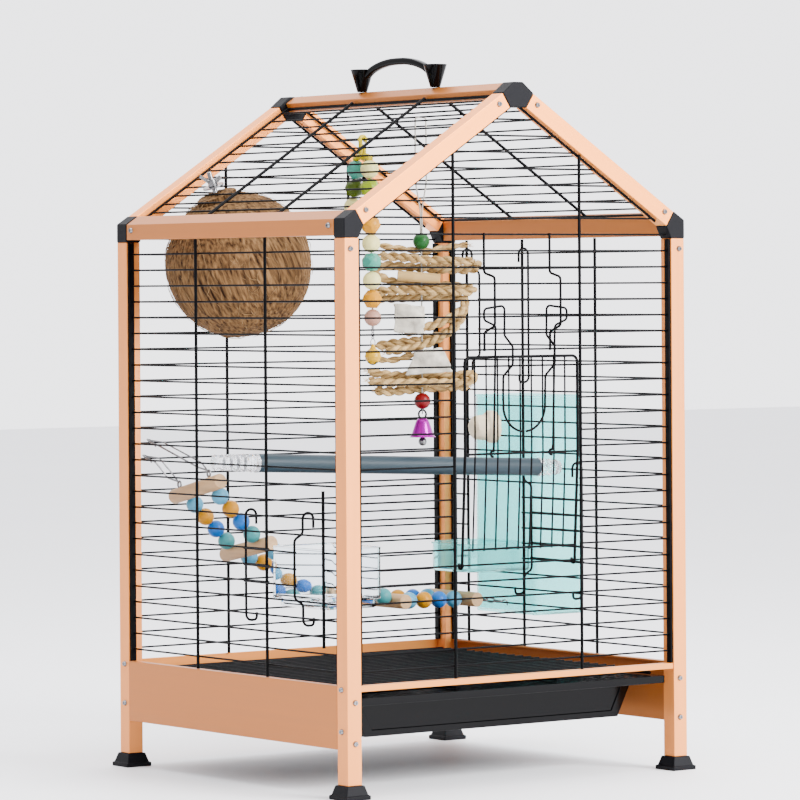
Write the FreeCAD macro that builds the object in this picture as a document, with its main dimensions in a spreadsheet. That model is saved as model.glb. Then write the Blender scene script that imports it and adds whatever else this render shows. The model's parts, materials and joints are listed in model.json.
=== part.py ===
import FreeCAD, Part
import math
import os

# Gable-roofed bird cage on four feet: aluminium frame, black wire grilles, drop-down front door,
# sliding feeder flaps, slide-out tray and grate, and the perch, cups and toys fitted inside.
# Built about the cage's centre, floor at Z = 0, front towards -Y, then every sub-part is placed
# by the two shift cells, so that the origin is the middle of the whole thing's base.

os.makedirs("parts", exist_ok=True)
doc = FreeCAD.newDocument("bird_cage")
V = FreeCAD.Vector

SIZES = {
    "cage_width": 404.0, "cage_depth": 380.0, "post_size": 16.0, "post_wall": 1.4,
    "foot_height": 13.0, "foot_base": 28.0, "post_top": 512.0,
    "eave_edge_height": 529.2, "roof_angle": 32.8,
    "wire_pitch": 15.4, "top_wire_height": 515.5, "thin_radius": 0.9, "main_radius": 1.5,
    "main_inset": 3.5, "main_spread": 75.2, "edge_bar": 2.4,
    "rail_low": 97.8, "rail_high": 103.4, "panel_low": 45.2,
    "door_half": 67.0, "door_top": 401.0, "door_bar": 222.0, "door_mid": 310.8,
    "door_radius": 1.4, "door_fill_radius": 0.85, "door_pitch": 13.4,
    "latch_radius": 1.1, "flap_radius": 1.2, "hook_reach": 12.0, "flap_jog": 9.5,
    "tray_half": 181.0, "grate_pitch": 13.0, "grate_radius": 1.2,
    "perch_radius": 8.75, "coconut_radius": 73.0, "coconut_wall": 6.0,
    "bead_radius": 8.5, "toy_bead_radius": 8.75, "toy_bead_pitch": 17.7,
    "rope_radius": 4.2, "dowel_radius": 7.3, "screw_radius": 2.9,
    "shift_x": -32.1, "shift_y": 8.05,
}

sheet = doc.addObject("Spreadsheet::Sheet", "sizes")
for row, (alias, value) in enumerate(SIZES.items(), start=1):
    sheet.set("A%d" % row, alias)
    sheet.set("B%d" % row, str(value))
    sheet.setAlias("B%d" % row, alias)
doc.recompute()

half_w = SIZES["cage_width"] / 2
half_d = SIZES["cage_depth"] / 2
post = SIZES["post_size"]
slope = math.radians(SIZES["roof_angle"])
wire_x = half_w - SIZES["main_inset"] - SIZES["main_radius"] - SIZES["thin_radius"]
wire_y = half_d - SIZES["main_inset"] - SIZES["main_radius"] - SIZES["thin_radius"]
thin = SIZES["thin_radius"]
count = 0


def level(k):
    """Height of the k-th horizontal wire, counted down from the eave."""
    return SIZES["top_wire_height"] - SIZES["wire_pitch"] * k


def roof_z(x):
    """Height of the roof's top face at a distance x from the ridge plane."""
    return SIZES["eave_edge_height"] + (half_w - abs(x)) * math.tan(slope)


def gable_half(z, depth=16.3):
    """Half-width of the gable under the rafters at height z."""
    return half_w - (z + depth / math.cos(slope) - SIZES["eave_edge_height"]) / math.tan(slope)


def add(kind, name):
    global count
    count += 1
    return doc.addObject(kind, "%s_%03d" % (name, count))


def bind(obj, **sizes):
    """Bind an object's properties to expressions, and plain numbers as they are."""
    for prop, value in sizes.items():
        if isinstance(value, str):
            obj.setExpression(prop, value.replace("#", "sizes."))
        else:
            setattr(obj, prop, value)
    return obj


def box(name, low, high):
    obj = add("Part::Box", name)
    bind(obj, Length=high[0] - low[0], Width=high[1] - low[1], Height=high[2] - low[2])
    obj.Placement.Base = V(*low)
    return obj


def rod(name, start, end, radius):
    """Round bar from start to end; radius is a number or a cell name."""
    obj = add("Part::Cylinder", name)
    a, b = V(*start), V(*end)
    bind(obj, Radius=radius if not isinstance(radius, str) else "#" + radius)
    obj.Height = (b - a).Length
    obj.Placement = FreeCAD.Placement(a, FreeCAD.Rotation(V(0, 0, 1), b - a))
    return obj


def cone(name, start, end, r1, r2):
    obj = add("Part::Cone", name)
    a, b = V(*start), V(*end)
    bind(obj, Radius1=r1, Radius2=r2, Height=(b - a).Length)
    obj.Placement = FreeCAD.Placement(a, FreeCAD.Rotation(V(0, 0, 1), b - a))
    return obj


def ball(name, centre, radius):
    obj = add("Part::Sphere", name)
    bind(obj, Radius=radius if not isinstance(radius, str) else "#" + radius)
    obj.Placement.Base = V(*centre)
    return obj


def prism(name, points, push):
    """Solid of a flat polygon pushed along a vector."""
    outline = add("Part::Polygon", name)
    outline.Nodes = [V(*p) for p in points]
    outline.Close = True
    solid = add("Part::Extrusion", name)
    solid.Base = outline
    solid.DirMode = "Custom"
    solid.Dir = V(*push)
    solid.LengthFwd = V(*push).Length
    solid.Solid = True
    return solid


def bent_wire(name, points, radius):
    """Round wire along a list of points."""
    path = add("Part::Polygon", name)
    path.Nodes = [V(*p) for p in points]
    end = add("Part::Circle", name)
    bind(end, Radius=radius if not isinstance(radius, str) else "#" + radius)
    a, b = V(*points[0]), V(*points[1])
    end.Placement = FreeCAD.Placement(a, FreeCAD.Rotation(V(0, 0, 1), b - a))
    doc.recompute()
    wire = add("Part::Sweep", name)
    wire.Sections = [end]
    wire.Spine = (path, ["Edge%d" % (i + 1) for i in range(len(points) - 1)])
    wire.Solid = True
    wire.Frenet = False
    wire.Transition = "Right corner"
    return wire


def arc(centre, radius, start, stop, plane, steps):
    """Points of an arc in plane 'xy', 'xz' or 'yz', angles in degrees."""
    first, second = {"xy": (0, 1), "xz": (0, 2), "yz": (1, 2)}[plane]
    points = []
    for i in range(steps + 1):
        angle = math.radians(start + (stop - start) * i / steps)
        p = list(centre)
        p[first] += radius * math.cos(angle)
        p[second] += radius * math.sin(angle)
        points.append(tuple(p))
    return points


def fuse(name, pieces):
    obj = add("Part::MultiFuse", name)
    obj.Shapes = pieces
    return obj


def cut(name, base, tool):
    obj = add("Part::Cut", name)
    obj.Base = base
    obj.Tool = tool
    return obj


nodes = []


def node(label, pieces):
    """One named sub-part: its solids in a compound, placed by the shift cells."""
    obj = doc.addObject("Part::Compound", label)
    obj.Label = label
    obj.Links = pieces
    obj.setExpression("Placement.Base.x", "sizes.shift_x")
    obj.setExpression("Placement.Base.y", "sizes.shift_y")
    nodes.append(obj)


# Frame ----------------------------------------------------------------------------------------

CORNERS = [("front_left", -1, -1), ("front_right", 1, -1), ("rear_left", -1, 1), ("rear_right", 1, 1)]

for place, sx, sy in CORNERS:
    x, y = sx * (half_w - post / 2), sy * (half_d - post / 2)
    tube = add("Part::Box", "post")
    bind(tube, Length="#post_size", Width="#post_size", Height="#post_top - #foot_height")
    tube.Placement.Base = V(x - post / 2, y - post / 2, SIZES["foot_height"])
    hollow = add("Part::Box", "post_hollow")
    bind(hollow, Length="#post_size - 2 * #post_wall", Width="#post_size - 2 * #post_wall",
         Height="#post_top")
    inner = post / 2 - SIZES["post_wall"]
    hollow.Placement.Base = V(x - inner, y - inner, 0)
    node("post_" + place, [cut("post", tube, hollow)])

    foot = SIZES["foot_base"] / 2
    plate = box("foot_plate", (x - foot, y - foot, 0), (x + foot, y + foot, 4))
    cap = add("Part::Wedge", "foot_cap")
    bind(cap, Xmin=0, Ymin=0, Zmin=0, X2min=2.75, Z2min=2.75, Xmax=25, Ymax=9, Zmax=25, X2max=22.25,
         Z2max=22.25)
    cap.Placement = FreeCAD.Placement(V(x - 12.5, y + 12.5, 4), FreeCAD.Rotation(V(1, 0, 0), 90))
    node("foot_" + place, [fuse("foot", [plate, cap])])

    end = V(189.2, 0, roof_z(189.2))
    along_end = V(math.sin(slope), 0, math.cos(slope))
    upper, lower = end + along_end * 0.6, end - along_end * 16.6
    eave = [(half_w + 0.4, 512), (half_w - 16, 512), (lower.x, lower.z), (upper.x, upper.z),
            (half_w + 0.4, 529.8)]
    y0 = sy * (half_d + 0.4)
    node("corner_block_" + place,
         [prism("corner_block", [(sx * px, y0, pz) for px, pz in eave], (0, -sy * 16.9, 0))])

for place, sy in (("front", -1), ("rear", 1)):
    top = [(-18.3, roof_z(18.3) + 0.4), (-5.5, 658.4), (5.5, 658.4), (18.3, roof_z(18.3) + 0.4),
           (9.6, 634.6), (-9.6, 634.6)]
    y0 = sy * (half_d + 0.4)
    node("ridge_block_" + place,
         [prism("ridge_block", [(px, y0, pz) for px, pz in top], (0, -sy * 16.9, 0))])
    for side, sx in (("left", -1), ("right", 1)):
        low, high = 189.1, 18.5
        down = V(-sx * math.sin(slope), 0, -math.cos(slope)) * post
        a, b = V(sx * low, 0, roof_z(low)), V(sx * high, 0, roof_z(high))
        ends = [a, b, b + down, a + down]
        y0 = sy * half_d
        node("rafter_%s_%s" % (place, side),
             [prism("rafter", [(p.x, y0, p.z) for p in ends], (0, -sy * post, 0))])

inner_y = half_d - 17
for side, sx in (("left", -1), ("right", 1)):
    eave = [(half_w, 514.3), (half_w, 529.2), (189.0, roof_z(189.0)), (186.0, 533.0), (186.0, 514.3)]
    node("eave_rail_" + side,
         [prism("eave_rail", [(sx * px, -inner_y, pz) for px, pz in eave], (0, 2 * inner_y, 0))])
    x_out, x_in = sx * half_w, sx * (half_w - 2)
    pieces = []
    for tip, low, high in ((x_out, SIZES["panel_low"], SIZES["rail_high"]),
                           (sx * (half_w - 8), SIZES["rail_high"] - 2, SIZES["rail_high"]),
                           (sx * 176, 86.2, 88.2)):
        a, b = sorted((x_in, tip))
        pieces.append(box("side_panel", (a, -half_d + post, low), (b, half_d - post, high)))
    node("side_panel_" + side, pieces)

ridge = [(-11, roof_z(11) - 1), (0, 658.5), (11, roof_z(11) - 1), (8, 643), (-8, 643)]
node("ridge_beam", [prism("ridge_beam", [(px, -inner_y, pz) for px, pz in ridge], (0, 2 * inner_y, 0))])

rail_in = half_w - post
node("front_rail", [box("front_rail", (-rail_in, -half_d + 1, SIZES["rail_low"]),
                        (rail_in, -half_d + 9, SIZES["rail_high"]))])
node("back_panel", [box("back_panel", (-rail_in, half_d - 2, SIZES["panel_low"]),
                        (rail_in, half_d, SIZES["rail_high"]))])


def screw(at, outward):
    """Pan-head screw standing on a face, with a cross recess."""
    a, n = V(*at), V(*outward)
    head = cone("screw", a, a + n * 1.9, SIZES["screw_radius"], SIZES["screw_radius"] * 0.72)
    side = n.cross(V(0, 1, 0) if abs(n.y) < 0.5 else V(1, 0, 0))
    side.normalize()
    slots = []
    for i in range(2):
        slot = add("Part::Box", "screw_slot")
        bind(slot, Length=2.8, Width=0.6, Height=1.0)
        turn = FreeCAD.Rotation(side, n.cross(side), n, "ZXY")
        turn = turn * FreeCAD.Rotation(V(0, 0, 1), 90 * i)
        slot.Placement = FreeCAD.Placement(a + n * 1.1 - turn.multVec(V(1.4, 0.3, 0)), turn)
        slots.append(slot)
    return cut("screw", head, fuse("screw_slots", slots))


screws = []
for sy in (-1, 1):
    for sx in (-1, 1):
        for x, z in ((195.5, 502), (193.2, 88.5), (193.2, 51)):
            screws.append(screw((sx * x, sy * half_d, z), (0, sy, 0)))
        for x, z in ((22.6, 637), (177.8, 537.5)):
            screws.append(screw((sx * x, sy * half_d, z), (0, sy, 0)))
        for z in (100.2, 62):
            screws.append(screw((sx * half_w, sy * 181, z), (sx, 0, 0)))
        screws.append(screw((sx * half_w, sy * 165, 523.5), (sx, 0, 0)))
    screws.append(screw((3.4, sy * 165, 658.5 - 3.4 * math.tan(slope)),
                        (math.sin(slope), 0, math.cos(slope))))
node("frame_screws", screws)

# Wire grilles ---------------------------------------------------------------------------------

bar = SIZES["edge_bar"]


def level_wire(axis, at, start, stop, k):
    """One thin horizontal wire of level k, along X at y = at, or along Y at x = at."""
    z = level(k)
    if axis == "x":
        return rod("wire", (start, at, z), (stop, at, z), "thin_radius")
    return rod("wire", (at, start, z), (at, stop, z), "thin_radius")


def main_wire(axis, at, along, low, high):
    if axis == "x":
        return rod("upright", (along, at, low), (along, at, high), "main_radius")
    return rod("upright", (at, along, low), (at, along, high), "main_radius")


def wall(axis, side, levels, limits, openings):
    """Horizontal wires of one wall, each left out where it would cross an opening."""
    at = side * (wire_y if axis == "x" else wire_x)
    wires = []
    for k in levels:
        reach = limits(k)
        spans = [(-reach, reach)]
        for low_k, high_k, start, stop in openings:
            if low_k < k < high_k:
                spans = [(a, b) for s in spans for a, b in ((s[0], min(s[1], start)),
                                                             (max(s[0], stop), s[1])) if b - a > 2]
        wires += [level_wire(axis, at, a, b, k) for a, b in spans]
    return wires


def edge_bars(axis, side, reach, low, high):
    """The two upright strips that end a wall against its posts."""
    outer = side * ((half_d if axis == "x" else half_w) - 1.5)
    inner = outer - side * 6
    a, b = min(outer, inner), max(outer, inner)
    strips = []
    for end in (-1, 1):
        s, t = sorted((end * reach, end * (reach - bar)))
        if axis == "x":
            strips.append(box("edge_bar", (s, a, low), (t, b, high)))
        else:
            strips.append(box("edge_bar", (a, s, low), (b, t, high)))
    return strips


spread = SIZES["main_spread"]
floor_z = SIZES["rail_high"] + 0.2
for place, side, openings in (("front", -1, [(8, 20, -spread, spread)]), ("back", 1, [])):
    wires = wall("x", side, range(-7, 27),
                 lambda k: rail_in - bar - 0.1 if k > -1 else gable_half(level(k) + thin), openings)
    at = side * (half_d - SIZES["main_inset"])
    wires += [main_wire("x", at, s * spread, floor_z, roof_z(spread) - 20.3) for s in (-1, 1)]
    wires += edge_bars("x", side, rail_in - 0.1, floor_z, 511.5)
    node(place + "_grille", wires)

side_in = half_d - post
for place, side, openings, uprights in (
        ("left", -1, [(18, 22, -149, -58)], [(-58, 103.6, 514), (58, 103.6, 514), (-149, 136, 280)]),
        ("right", 1, [(16, 22, 58, 150), (2, 8, 58, 150)],
         [(-58, 103.6, 514), (58, 103.6, 514), (150, 103.6, 514)])):
    wires = wall("y", side, range(1, 27), lambda k: side_in - bar - 0.1, openings)
    at = side * (half_w - SIZES["main_inset"])
    wires += [main_wire("y", at, y, low, high) for y, low, high in uprights]
    wires += edge_bars("y", side, side_in - 0.1, floor_z, 511.8)
    node(place + "_grille", wires)


def on_roof(sx, s, inset):
    """Point on one roof slope, s up from the eave edge and inset under the top face."""
    return (sx * (half_w - s * math.cos(slope) - inset * math.sin(slope)),
            SIZES["eave_edge_height"] + s * math.sin(slope) - inset * math.cos(slope))


for place, sx in (("left", -1), ("right", 1)):
    wires = []
    for i in range(1, 14):
        x, z = on_roof(sx, 15.5 + SIZES["wire_pitch"] * i, 5.9)
        wires.append(rod("roof_wire", (x, -inner_y + 0.3, z), (x, inner_y - 0.3, z), "thin_radius"))
    for y in (-60, 58):
        x1, z1 = on_roof(sx, 17.6, 3.5)
        x2, z2 = on_roof(sx, 224, 3.5)
        wires.append(rod("roof_upright", (x1, y, z1), (x2, y, z2), "main_radius"))
    node("roof_grille_" + place, wires)

# Front door, latch and keepers ----------------------------------------------------------------

keepers = []
out = -half_d
for s in (-1, 1):
    x = s * 39.1
    keepers.append(bent_wire("keeper", [(x, out + 3.7, 516.8), (x, out + 3.7, 483), (x, out - 15.7, 477),
                                        (x, out - 15.7, 430), (x, out + 3.7, 424),
                                        (x, out + 3.7, 406.4)], 1.2))
node("latch_keeper_rods", keepers)

door_y = out - 2
hinge_y, hinge_z = -wire_y, level(20)
half = SIZES["door_half"]
pin_gap = SIZES["thin_radius"] + 0.35 + SIZES["door_radius"]


def door_eye(x):
    """Points of the eye that loops under the hinge wire, from the door's side wire."""
    return [(x, door_y, 218)] + arc((x, hinge_y, hinge_z), pin_gap, 150, 400, "yz", 9)


corner = 6
left_top = arc((-half + corner, door_y, SIZES["door_top"] - corner), corner, 180, 90, "xz", 4)
right_top = arc((half - corner, door_y, SIZES["door_top"] - corner), corner, 90, 0, "xz", 4)
frame = list(reversed(door_eye(-half))) + left_top + right_top + door_eye(half)
pieces = [bent_wire("door_frame", frame, "door_radius")]
span = half - SIZES["door_radius"]
pieces.append(rod("door_bar", (-span, door_y, SIZES["door_bar"]), (span, door_y, SIZES["door_bar"]),
                  "latch_radius"))
pieces.append(rod("door_mid", (-span, door_y, SIZES["door_mid"]), (span, door_y, SIZES["door_mid"]),
                  "latch_radius"))
fill_y = door_y + SIZES["door_radius"] + SIZES["door_fill_radius"]
for i in range(-4, 5):
    x = i * SIZES["door_pitch"]
    pieces.append(rod("door_fill", (x, fill_y, 221), (x, fill_y, SIZES["door_top"]), "door_fill_radius"))
node("front_door", pieces)

for side, s in (("left", -1), ("right", 1)):
    eye = [(s * 35, y, z) for _, y, z in
           arc((0, door_y, SIZES["door_mid"]), 2.55, -115, 135, "yz", 7)]
    curve = arc((0, door_y - 4, 356), 25, -9, -85, "xz", 6)
    arm = eye + [(s * 35.2, door_y - 2.6, 318), (s * 35.2, out - 8.5, 430), (s * 49.2, out - 9, 435.5),
                 (s * 49.2, out - 9, 446), (s * 25, out - 9, 449), (s * 25, out - 8.5, 421),
                 (s * 25, out - 21, 411), (s * 25, out - 21, 394), (s * 25, out - 6.4, 383),
                 (s * 25, door_y - 4, 366)] + [(s * x, y, z) for x, y, z in curve]
    node("latch_arm_" + side, [bent_wire("latch_arm", arm, "latch_radius")])

# Sliding feeder flaps -------------------------------------------------------------------------


def flap(label, sx, straight_y, jogged_y, low, high, levels):
    """A flap of two upright rods hooked over and under the wall's wires, with cross wires."""
    x = sx * (half_w + 0.1)
    tip = x - sx * SIZES["hook_reach"]
    jog = x + sx * SIZES["flap_jog"]
    mid = (level(levels[0]) + level(levels[-1])) / 2
    grip = (level(levels[0]) - level(levels[-1])) / 2 + 12
    rods = []
    for y, bend in ((straight_y, x), (jogged_y, jog)):
        middle = [] if bend == x else [(x, y, mid + grip + 5), (bend, y, mid + grip),
                                       (bend, y, mid - grip), (x, y, mid - grip - 5)]
        points = [(tip, y, high - 14), (tip, y, high)] + [(x, y, high)] + middle
        points += [(x, y, low), (tip, y, low), (tip, y, low + 6)]
        rods.append(bent_wire("flap_rod", points, "flap_radius"))
    for k in levels:
        rods.append(rod("flap_wire", (x + sx * 2.1, straight_y, level(k)),
                        (jog - sx * 1.5, jogged_y, level(k)), "thin_radius"))
    node(label, rods)


flap("feeder_flap_left", -1, -29, -121.5, 155, 259, [19, 20, 21])
flap("feeder_flap_right_low", 1, -31, 62, 156, 291, [17, 18, 19, 20, 21])
flap("feeder_flap_right_high", 1, 53, 146, 370, 505, [3, 4, 5, 6, 7])

# Tray, grate and handle -----------------------------------------------------------------------

th = SIZES["tray_half"]
tray_back = half_d - 22


def tray_block(name, top, top_z, bottom, bottom_z, front, back):
    """Trough whose sides lean in towards the bottom."""
    outline = [(-top, front, top_z), (top, front, top_z), (bottom, front, bottom_z),
               (-bottom, front, bottom_z)]
    return prism(name, outline, (0, back - front, 0))


body = tray_block("tray_body", th - 10, 90, th - 30, 51, -147, tray_back)
rim = box("tray_rim", (-th, -half_d + 8, 88.6), (th, tray_back + 4, 91))
lip = box("tray_lip", (-th, -half_d + 8, 84), (th, -half_d + 10.2, 89))
hollow = tray_block("tray_hollow", th - 8.2, 100, th - 31.2, 53.2, -144.6, tray_back - 2.2)
panel = tray_block("tray_panel", th - 24, 84, th - 38, 57, -148, -145.8)
node("tray", [cut("tray", cut("tray", fuse("tray", [body, rim, lip]), hollow), panel)])

grate = []
grate_z = 95.9
for x in (-174, -60, 60, 174):
    grate.append(rod("grate_runner", (x, -168, grate_z - 2.7), (x, 168, grate_z - 2.7), 1.5))
steps = int(330 / SIZES["grate_pitch"])
for i in range(steps + 1):
    y = -165 + 330 * i / steps
    grate.append(rod("grate_wire", (-176, y, grate_z), (176, y, grate_z), "grate_radius"))
node("floor_grate", grate)

cups = []
for y in (-61, 58):
    cups.append(cone("handle_cup", (0, y, 658.6), (0, y, 680.5), 4.75, 10.5))
mid_y, reach = -1.5, 56.5
outside = [(1.0, 675), (0.94, 683.5), (0.7, 687.4), (0.35, 689.2), (0, 689.6)]
inside = [(0.86, 672), (0.83, 677.5), (0.66, 681), (0.35, 682.5), (0, 682.8)]
half_arch = [(mid_y - reach * t, z) for t, z in outside]
half_under = [(mid_y - reach * t, z) for t, z in inside]
mirror = [(2 * mid_y - y, z) for y, z in reversed(half_arch[:-1])]
mirror_under = [(2 * mid_y - y, z) for y, z in half_under[:-1]]
arch = half_arch + mirror + mirror_under + list(reversed(half_under))
grip = prism("handle_grip", [(-3.6, y, z) for y, z in arch], (7.2, 0, 0))
node("handle", [fuse("handle", cups + [grip])])

# Perch ----------------------------------------------------------------------------------------

left_end, right_end = V(-146, 32, 299.0), V(168, -3, 287.0)
run = right_end - left_end
run.normalize()
node("perch_tube", [rod("perch", left_end, right_end, "perch_radius")])
for side, start, way, reach in (("left", left_end, run * -1, 48.0), ("right", right_end, run, 25.5)):
    a = start + way * 0.05
    node("perch_cap_" + side, [cone("perch_cap", a, a + way * reach, 9.4, 7.4)])

# Feeder cup, feeder box, mineral ball -----------------------------------------------------------

outer = box("cup", (-194.8, -146, 177.9), (-128, -61.5, 232))
inner = box("cup_hollow", (-193, -144.2, 180), (-129.8, -63.3, 260))
ledge = box("cup_ledge", (-199.5, -144, 177.9), (-194, -63.5, 179.5))
node("feeder_cup", [cut("cup", fuse("cup", [outer, ledge]), inner)])

hopper = [box("hopper", (214, 60, 133), (277, 160, 135)),
          box("hopper", (275, 60, 135), (277, 160, 356)),
          box("hopper", (214, 60, 135), (275, 62, 356)), box("hopper", (214, 158, 135), (275, 160, 356)),
          box("hopper", (214, 62, 135), (216, 158, 181)), box("hopper", (214, 62, 206), (216, 158, 356)),
          box("hopper", (214, 62, 181), (216, 69, 206)), box("hopper", (214, 145, 181), (216, 158, 206))]
trough = [box("trough", (139, 67, 179), (214, 147, 181)), box("trough", (139, 67, 181), (141, 147, 208)),
          box("trough", (141, 67, 181), (214, 69, 208)), box("trough", (141, 145, 181), (214, 147, 208))]
node("feeder_box", hopper + trough)
node("mineral_ball", [ball("mineral_ball", (178, 104, 324), 16.5)])

# Coconut nest on its bolt -----------------------------------------------------------------------

nest = V(-113.5, 109, 490)
up = V(-0.36, 0, 0.933)
up.normalize()
shell = cut("nest", ball("nest", nest, "coconut_radius"),
            ball("nest_hollow", nest, SIZES["coconut_radius"] - SIZES["coconut_wall"]))
door = rod("nest_door", nest + V(20, -4, 6), nest + V(90, -18, 27), 31)
hole = rod("nest_hole", nest + up * 50, nest + up * 80, 2.7)
node("coconut_nest", [cut("nest", shell, fuse("nest_cuts", [door, hole]))])
stud = rod("nest_stud", nest + up * 65.5, nest + up * 96, 2.4)
head = rod("nest_head", nest + up * 62, nest + up * 65.6, 5.5)
node("nest_bolt", [fuse("nest_bolt", [stud, head])])
washer = cut("washer", rod("washer", nest + up * 80.6, nest + up * 82, 10.5),
             rod("washer_hole", nest + up * 79, nest + up * 83, 2.5))
hub = cone("wing_hub", nest + up * 82.1, nest + up * 88.5, 4.8, 3.8)
wings = [prism("wing", [nest + up * 83 + V(s * 3, -0.8, 0), nest + up * 88 + V(s * 3, -0.8, 0),
                        nest + up * 93 + V(s * 11, -0.8, 0), nest + up * 90 + V(s * 13, -0.8, 0)],
               (0, 1.6, 0)) for s in (-1, 1)]
bore = rod("wing_hole", nest + up * 80, nest + up * 99, 2.5)
node("nest_wing_nut", [washer, cut("wing_nut", fuse("wing_nut", [hub] + wings), bore)])

# Bead toy, hung from the left roof slope ---------------------------------------------------------

toy_y = -37
toy_x, wire_z = on_roof(-1, 15.5 + SIZES["wire_pitch"] * 9, 5.9)
saddle_z = 590.2
hook = arc((toy_x, toy_y, wire_z), 3.1, -30, 225, "xz", 9) + [(toy_x - 0.5, toy_y, saddle_z + 1)]
node("bead_toy_hook", [bent_wire("toy_hook", hook, 1.6),
                       rod("toy_saddle", (toy_x, toy_y - 15, saddle_z), (toy_x, toy_y + 15, saddle_z), 1.8)])
beads, bells = [], []
pitch, bead = SIZES["toy_bead_pitch"], SIZES["toy_bead_radius"]
for y_top, y_bottom in ((-48, -51.5), (-26, -4.5)):
    for i in range(9):
        y, z = y_top + (y_bottom - y_top) * i / 8, 579.3 - pitch * i
        beads.append(ball("toy_bead", (toy_x, y, z), "toy_bead_radius"))
    bell_z = z - 36.7
    bells.append(rod("toy_link", (toy_x, y_bottom, z - bead - 0.1), (toy_x, y_bottom, bell_z + 12), 1.5))
    shell = cut("toy_bell", ball("toy_bell", (toy_x, y_bottom, bell_z), 7.7),
                ball("toy_bell_in", (toy_x, y_bottom, bell_z), 6.9))
    slits = [box("bell_slit", (toy_x - dx, y_bottom - dy, bell_z - 9),
                 (toy_x + dx, y_bottom + dy, bell_z - 3)) for dx, dy in ((9, 0.6), (0.6, 9))]
    tip = cone("bell_tip", (toy_x, y_bottom, bell_z + 7.2), (toy_x, y_bottom, bell_z + 11.9), 3.2, 1.3)
    bells.append(fuse("toy_bell", [cut("toy_bell", shell, fuse("bell_slits", slits)), tip]))
    bells.append(ball("bell_pellet", (toy_x, y_bottom, bell_z - 3.9), 2.6))
node("bead_toy_beads", beads)
node("bead_toy_bells", bells)

# Rope toy, hung from beside the ridge -------------------------------------------------------------

rope_y = 3.5
rope_x, rope_wire_z = on_roof(1, 15.5 + SIZES["wire_pitch"] * 12, 5.9)
rope_top = rope_wire_z - thin - 0.4
across, behind = V(math.cos(0.64), -math.sin(0.64), 0), V(math.sin(0.64), math.cos(0.64), 0)


def toy_point(side, depth, z):
    """Point of the rope bundle, side and depth measured from its middle string."""
    return V(rope_x, rope_y, z) + across * side + behind * depth


# Each stretch of rope: side and height of its two ends, then its depth.
ROWS = [(-44, 507.5, -11, 504.5, 4.5), (11, 504.5, 46, 507.5, 4.5), (-42, 496, 49, 491, -4.5),
        (-46, 487, 47, 483, 4.5), (-45, 475, 46, 466, 4.5), (-44, 463, 46, 462, -4.5),
        (-44, 456, 40, 456, 4.5), (-18, 422, 37, 447, -4.5), (-46, 410, 36, 430, 4.5),
        (-44, 396, 0, 402, 4.5), (-53, 384, 46, 380, 4.5), (-53, 374.5, 46, 373, -4.5),
        (-46, 367, 45, 369, 4.5)]
bundle = [rod("rope_cord", (rope_x, rope_y, 519.8), (rope_x, rope_y, rope_top), 1.3)]
bundle += [rod("rope_row", toy_point(s1, d, z1), toy_point(s2, d, z2), "rope_radius")
           for s1, z1, s2, z2, d in ROWS]
bundle.append(rod("bamboo", toy_point(-23.5, -4.8, 478), toy_point(18, -4.8, 474.5), 5))
for left, right, low, high in ((-30, -6, 433, 449), (-6, 28, 385.5, 407)):
    corners = ((left, low), (right, low), (right, high), (left, high))
    outline = [toy_point(side, -9, z) for side, z in corners]
    bundle.append(prism("loofah", outline, behind * 8.5))
node("rope_toy_ropes", bundle)
node("rope_toy_beads", [ball("rope_bead", (rope_x, rope_y, 511.4), 8.2),
                        ball("rope_bead", (rope_x, rope_y, 355.3), 8.0)])
skirt = cut("rope_bell", cone("rope_bell", (rope_x, rope_y, 320), (rope_x, rope_y, 338), 12.9, 5.2),
            cone("rope_bell_in", (rope_x, rope_y, 319), (rope_x, rope_y, 336.5), 12.2, 4.2))
node("rope_toy_bell", [skirt, rod("rope_link", (rope_x, rope_y, 338.1), (rope_x, rope_y, 347.2), 2.0)])

# Ladder: dowels and strung beads sagging from the back wall to the right wall -----------------------

STEPS = [(-148, 271, 9.0), (-88, 210, 7.5), (-4, 178, 3.0), (75, 152, 0.0), (165, 150, 0.0)]
dowels, strung = [], []
for x, z, tilt in STEPS:
    dowels.append(rod("dowel", (x, 173, z - tilt), (x, 92, z + tilt), "dowel_radius"))
node("ladder_dowels", dowels)
for (x1, z1, t1), (x2, z2, t2) in zip(STEPS, STEPS[1:]):
    for y, lift in ((154, -0.55), (110, 0.55)):
        a, b = V(x1, y, z1 + t1 * lift), V(x2, y, z2 + t2 * lift)
        step = b - a
        gap = step.Length - 2 * SIZES["dowel_radius"]
        many = int(gap / (2 * SIZES["bead_radius"]))
        step.normalize()
        for i in range(many):
            at = a + step * (SIZES["dowel_radius"] + gap * (i + 0.5) / many)
            strung.append(ball("ladder_bead", at, "bead_radius"))
node("ladder_beads", strung)
hooks = []
for x, y, z, k in ((-152, 160, 276, 14), (-147, 116, 288, 13)):
    wire_at = (x - 22, wire_y, level(k))
    hooks.append(bent_wire("ladder_hook", [(x, y, z), (x - 16, wire_y - 6, level(k) - 4),
                                           (x - 18, wire_y - 3.4, level(k) + 2.4),
                                           (x - 20, wire_y + 0.4, level(k) + 2.8),
                                           (x - 21, wire_y + 3.4, level(k) - 3)], 0.8))
for y in (110, 154):
    hooks.append(bent_wire("ladder_link", [(174.8, y, 149.5), (wire_x - 3, y - 22, level(24) + 1.5),
                                           (wire_x - 1, y - 23, level(24) + 2.6),
                                           (wire_x + 1.8, y - 24, level(24) + 2.2),
                                           (wire_x + 2.6, y - 24, level(24) - 3)], 0.8))
node("ladder_hooks", hooks)

doc.recompute()
for obj in doc.Objects:
    if "Invalid" in obj.State or "Error" in obj.State:
        raise RuntimeError("%s is %s" % (obj.Name, obj.State))
for obj in nodes:
    if obj.Shape.isNull() or not obj.Shape.isValid():
        raise RuntimeError(obj.Label + " has no valid shape")
    obj.Shape.exportStep("parts/%s.step" % obj.Label)
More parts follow.
